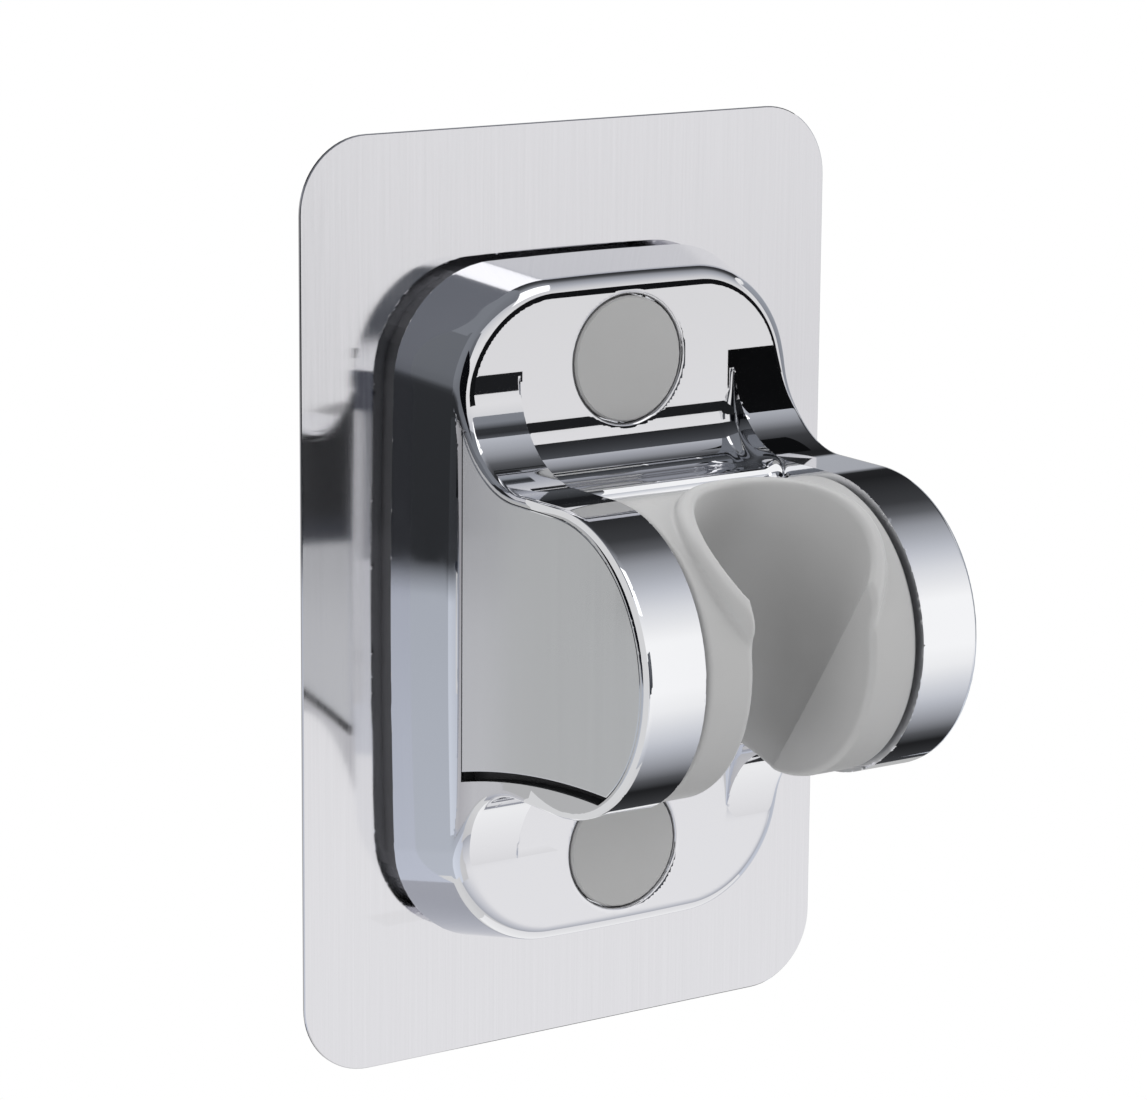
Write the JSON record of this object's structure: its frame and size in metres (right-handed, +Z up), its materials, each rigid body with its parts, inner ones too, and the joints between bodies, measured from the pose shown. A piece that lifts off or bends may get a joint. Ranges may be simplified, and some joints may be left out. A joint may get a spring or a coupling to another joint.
{
  "type": "shower head holder",
  "caption": "Chrome wall holder for a hand shower: a grey slotted cradle tilts between the arms of a rounded body, which is bolted to a glued brushed-steel plate.",
  "frame": {"origin": "middle of the glued face, on the wall", "axes": "+Z up, +Y into the wall, +X to the right as seen from the room"},
  "size_m": [0.08, 0.0538, 0.12],
  "materials": {
    "chrome": "bright chrome plating on moulded plastic",
    "cover_chrome": "bright chrome plating on a flat moulded cover",
    "brushed_steel": "stainless sheet, fine vertical brushing",
    "cradle_plastic": "smooth grey plastic, satin gloss",
    "cap_plastic": "matt grey plastic",
    "seal_rubber": "black foam rubber",
    "ring_rubber": "black rubber",
    "fastener_steel": "bright zinc plating",
    "insert_brass": "turned brass",
    "bush_nylon": "natural acetal",
    "adhesive": "milky acrylic glue pad"
  },
  "bodies": {
    "wall_body": {"adhesive_sheet": "adhesive", "mounting_plate": "brushed_steel", "base_seal": "seal_rubber", "body_shell": "chrome", "stud_upper": "fastener_steel", "washer_upper": "fastener_steel", "nut_upper": "fastener_steel", "screw_cap_upper": "cap_plastic", "stud_lower": "fastener_steel", "washer_lower": "fastener_steel", "nut_lower": "fastener_steel", "screw_cap_lower": "cap_plastic", "pivot_bush_left": "bush_nylon", "side_cover_left": "cover_chrome", "pivot_bush_right": "bush_nylon", "side_cover_right": "cover_chrome"},
    "tilting_cradle": {"cradle": "cradle_plastic", "pivot_insert_left": "insert_brass", "pivot_screw_left": "fastener_steel", "spring_washer_left": "fastener_steel", "friction_ring_left": "ring_rubber", "pivot_insert_right": "insert_brass", "pivot_screw_right": "fastener_steel", "spring_washer_right": "fastener_steel", "friction_ring_right": "ring_rubber"}
  },
  "joints": [
    {"name": "cradle_tilt", "type": "hinge", "parent": "wall_body", "child": "tilting_cradle", "pos_m": [0, -0.0346, -0.0004], "axis": [1, 0, 0], "range_deg": [-28, 62]}
  ]
}
